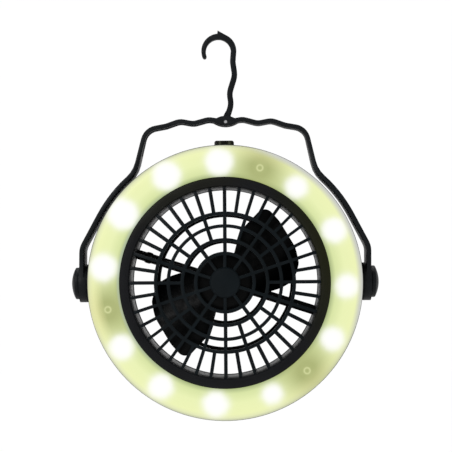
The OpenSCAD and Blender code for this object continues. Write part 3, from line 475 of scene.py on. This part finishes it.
def rounded_copy(node, width):
    """A joined copy of a frame node with its edges rounded to the width in millimetres."""
    source = frame["nodes"][node]
    bm = bmesh.new()
    bm.from_mesh(source.data)
    bmesh.ops.remove_doubles(bm, verts=bm.verts, dist=SAME_POINT * MM)
    bmesh.ops.dissolve_limit(bm, angle_limit=math.radians(FLAT_ANGLE), verts=bm.verts,
                             edges=bm.edges)
    sharp = [e for e in bm.edges
             if len(e.link_faces) == 2 and e.calc_face_angle(0) > math.radians(EDGE_ANGLE)]
    bmesh.ops.bevel(bm, geom=sharp, offset=width * MM, affect="EDGES", segments=2, profile=0.5,
                    clamp_overlap=True, material=-1)
    piece_from(bm, node + "_smooth", source["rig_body"], slots[node], [node])


for node, width in ROUNDED.items():
    rounded_copy(node, width)

# ---- Studio ----

SKY_LIGHT = 0.40       # strength of the world as a light; the camera sees it at 1, white
GLOW_STRENGTH = 1.03   # glow of the floor and backdrop
GLOW_SHARE = 0.97      # its share where the camera or a reflection sees them
ROOM_SIZE = 6          # metres from the middle to the floor's edges and the backdrop's top
BACKDROP_PLACE = 5.9   # metres behind the fan
FLOOR_HEIGHT = -0.62   # metres, well below the fan

# Place, size and power of each lamp, in metres and watts
LAMPS = {
    "key": ((-1.1, -1.5, 0.9), 0.9, 32),
    "fill": ((1.5, -1.2, 0.5), 1.2, 4),
    "top": ((0.1, 0.5, 1.5), 1.0, 14),
}

HALF_SENSOR = 18       # millimetres
HALF_VIEW = 8.83       # degrees from the middle of the view to its side
CAMERA_PLACE = (0.01345, -0.962, -0.1441)
CAMERA_TARGET = (0.00434, -0.012, -0.11595)
CAMERA_ROLL = -0.45    # degrees; the fan then hangs a touch askew, its left side low
CAMERA_REACH = (0.05, 60)   # nearest and farthest metres that the camera sees

scene.view_settings.view_transform = "Standard"

world = bpy.data.worlds.new("studio")
scene.world = world
world.use_nodes = True
ambient = world.node_tree.nodes["Background"]
ambient.inputs["Color"].default_value = (1, 1, 1, 1)
sky_rays = world.node_tree.nodes.new("ShaderNodeLightPath")
sky_level = world.node_tree.nodes.new("ShaderNodeMapRange")
sky_level.inputs["To Min"].default_value = SKY_LIGHT
sky_level.inputs["To Max"].default_value = 1.0
world.node_tree.links.new(sky_rays.outputs["Is Camera Ray"], sky_level.inputs["Value"])
world.node_tree.links.new(sky_level.outputs[0], ambient.inputs["Strength"])


def backdrop_material():
    """White to the camera and in reflections, and a pale surface that keeps soft shadows."""
    f = Finish("studio_white", (0.86, 0.86, 0.86), 0.9, Specular_IOR_Level=0.0)
    cloud = f.grey(f.noise(1.2), *NOISE_SPAN)
    f.set("Base Color", f.mix(cloud, (0.85, 0.85, 0.85), (0.87, 0.87, 0.87)))
    camera_ray, glossy_ray, through_ray = (f.node("LightPath", out=f"Is {kind} Ray")
                                           for kind in ("Camera", "Glossy", "Transmission"))
    seen = camera_ray.larger(glossy_ray).larger(through_ray) * GLOW_SHARE
    surface = Port(f, f.shader.outputs[0])
    glow = f.node("Emission", {"Color": (1, 1, 1, 1), "Strength": GLOW_STRENGTH})
    f.feed(f.end.inputs["Surface"], f.node("MixShader", {0: seen, 1: surface, 2: glow}))
    return f.material


STUDIO_WHITE = backdrop_material()


def staged(name, corners):
    """A flat sheet of the studio between its corners."""
    bm = bmesh.new()
    bm.faces.new([bm.verts.new(Vector(c)) for c in corners])
    piece = object_from(bm, name, STUDIO_WHITE)


staged("floor", [(-ROOM_SIZE, -ROOM_SIZE, FLOOR_HEIGHT), (ROOM_SIZE, -ROOM_SIZE, FLOOR_HEIGHT),
                 (ROOM_SIZE, ROOM_SIZE, FLOOR_HEIGHT), (-ROOM_SIZE, ROOM_SIZE, FLOOR_HEIGHT)])
staged("backdrop", [(-ROOM_SIZE, BACKDROP_PLACE, FLOOR_HEIGHT),
                    (ROOM_SIZE, BACKDROP_PLACE, FLOOR_HEIGHT),
                    (ROOM_SIZE, BACKDROP_PLACE, ROOM_SIZE),
                    (-ROOM_SIZE, BACKDROP_PLACE, ROOM_SIZE)])


def aimed(name, data, place, target, roll=0.0):
    """Puts a lamp or the camera at a place, turned towards the target and rolled by degrees."""
    holder = bpy.data.objects.new(name, data)
    scene.collection.objects.link(holder)
    holder.location = place
    turn = (Vector(target) - holder.location).to_track_quat("-Z", "Y")
    holder.rotation_euler = (turn @ Quaternion((0, 0, 1), math.radians(roll))).to_euler()
    return holder


for name, (place, size, power) in LAMPS.items():
    lamp = bpy.data.lights.new(name, "AREA")
    lamp.shape = "SQUARE"
    lamp.size = size
    lamp.energy = power
    aimed(name, lamp, place, [v * MM for v in DISC])

camera = bpy.data.cameras.new("camera")
camera.lens = HALF_SENSOR / math.tan(math.radians(HALF_VIEW))
camera.clip_start, camera.clip_end = CAMERA_REACH
scene.camera = aimed("camera", camera, CAMERA_PLACE, CAMERA_TARGET, CAMERA_ROLL)
